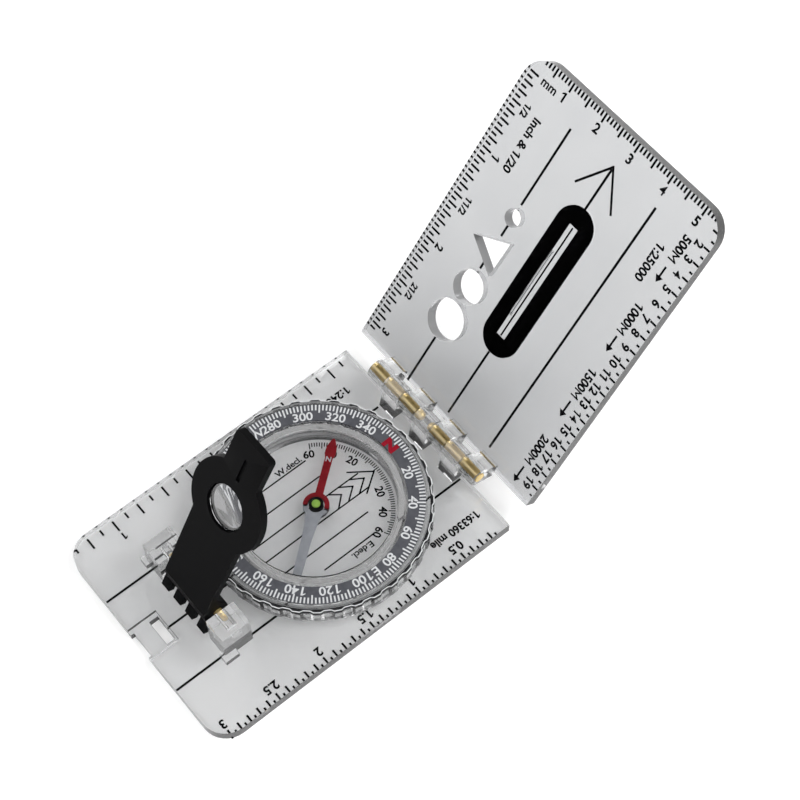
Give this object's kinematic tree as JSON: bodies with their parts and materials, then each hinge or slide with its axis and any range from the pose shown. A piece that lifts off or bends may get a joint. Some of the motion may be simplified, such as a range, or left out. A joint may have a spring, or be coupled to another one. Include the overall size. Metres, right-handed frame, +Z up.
{
  "type": "baseplate compass",
  "caption": "Folding baseplate compass: clear base and cover plates, ribbed rotating capsule with needle, and a black magnifier sight arm.",
  "frame": {"origin": "mid-width on the flat underside, where the compass rests, 0.7 mm ahead of the capsule's axis", "axes": "+Z up, +Y from the lanyard tail towards the cover hinge, +X to the right seen from above with the hinge ahead"},
  "size_m": [0.0574, 0.1352, 0.0687],
  "materials": {
    "clear_acrylic": "clear, polished",
    "black_print": "matte black",
    "brass": "drawn, plain",
    "arm_black": "fine matte",
    "clear_lens": "clear, polished",
    "clear_bezel": "clear, ribbed",
    "dial_grey": "printed dark grey",
    "spring_steel": "bright drawn",
    "clear_capsule": "clear, polished",
    "plug_plastic": "plain",
    "jewel": "polished",
    "needle_red": "painted red",
    "needle_pale": "painted pale grey",
    "magnet_steel": "dark",
    "luminous_green": "luminous paint"
  },
  "bodies": {
    "base": {"base_plate": "clear_acrylic", "hinge_pin_left": "brass", "hinge_pin_right": "brass", "arm_pin_left": "brass", "arm_pin_right": "brass"},
    "cover": {"cover_plate": "clear_acrylic", "sight_mask": "black_print"},
    "arm": {"sight_arm": "arm_black", "magnifier_lens": "clear_lens"},
    "capsule": {"bezel_ring": "clear_bezel", "dial_ring": "dial_grey", "bezel_spring_ring": "spring_steel", "capsule_cup": "clear_capsule", "capsule_lid": "clear_capsule", "orienting_disk": "clear_capsule", "fill_plug": "plug_plastic", "pivot_pin": "spring_steel"},
    "needle": {"needle_north": "needle_red", "needle_south": "needle_pale", "needle_magnet": "magnet_steel", "hub_cap": "arm_black", "jewel_bearing": "jewel", "luminous_dot": "luminous_green"}
  },
  "joints": [
    {"name": "cover_hinge", "type": "hinge", "parent": "base", "child": "cover", "pos_m": [0, 0.0305, 0.0091], "axis": [1, 0, 0], "range_deg": [-51.5, 128.4]},
    {"name": "arm_hinge", "type": "hinge", "parent": "base", "child": "arm", "pos_m": [0, -0.0323, 0.009], "axis": [1, 0, 0], "range_deg": [-60.75, 25]},
    {"name": "bezel_turn", "type": "hinge", "parent": "base", "child": "capsule", "pos_m": [0, -0.0007, 0], "axis": [0, 0, 1], "continuous": true},
    {"name": "needle_turn", "type": "hinge", "parent": "capsule", "child": "needle", "pos_m": [0, -0.0007, 0.0075], "axis": [0, 0, 1], "continuous": true}
  ],
  "couplings": [
    {"joint": "arm_hinge", "follows": "cover_hinge", "ratio": -0.4731}
  ]
}
